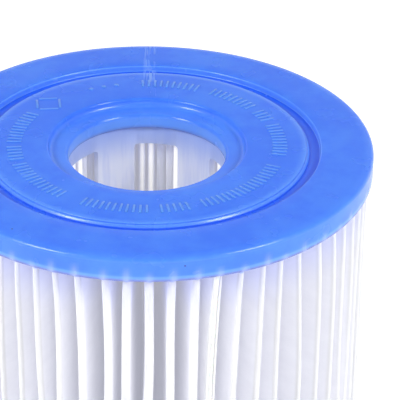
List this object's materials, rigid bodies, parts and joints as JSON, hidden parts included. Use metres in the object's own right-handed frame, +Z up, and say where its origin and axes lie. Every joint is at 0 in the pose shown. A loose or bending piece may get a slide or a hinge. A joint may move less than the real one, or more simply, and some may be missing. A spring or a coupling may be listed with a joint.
{
  "type": "filter cartridge",
  "caption": "Small pleated pool filter cartridge: folded white cloth round a plastic cage, with a soft blue end cap at each end and a hole right through.",
  "frame": {"origin": "centre of the bottom cap's resting face, on the cartridge's axis", "axes": "+Z up along the axis of the hole, from the bottom cap to the top cap; -Y is the side seen from the front, with the cloth's seam 17 degrees from it towards +X"},
  "size_m": [0.09, 0.09, 0.1],
  "materials": {
    "end_cap_vinyl": "soft satin vinyl",
    "filter_cloth": "matt nonwoven polyester",
    "hot_melt_adhesive": "smooth, slightly cloudy",
    "core_plastic": "satin natural polypropylene"
  },
  "bodies": {
    "root": {"top_end_cap": "end_cap_vinyl", "bottom_end_cap": "end_cap_vinyl", "pleated_media": "filter_cloth", "seam_adhesive": "hot_melt_adhesive", "inner_core": "core_plastic"}
  },
  "joints": []
}
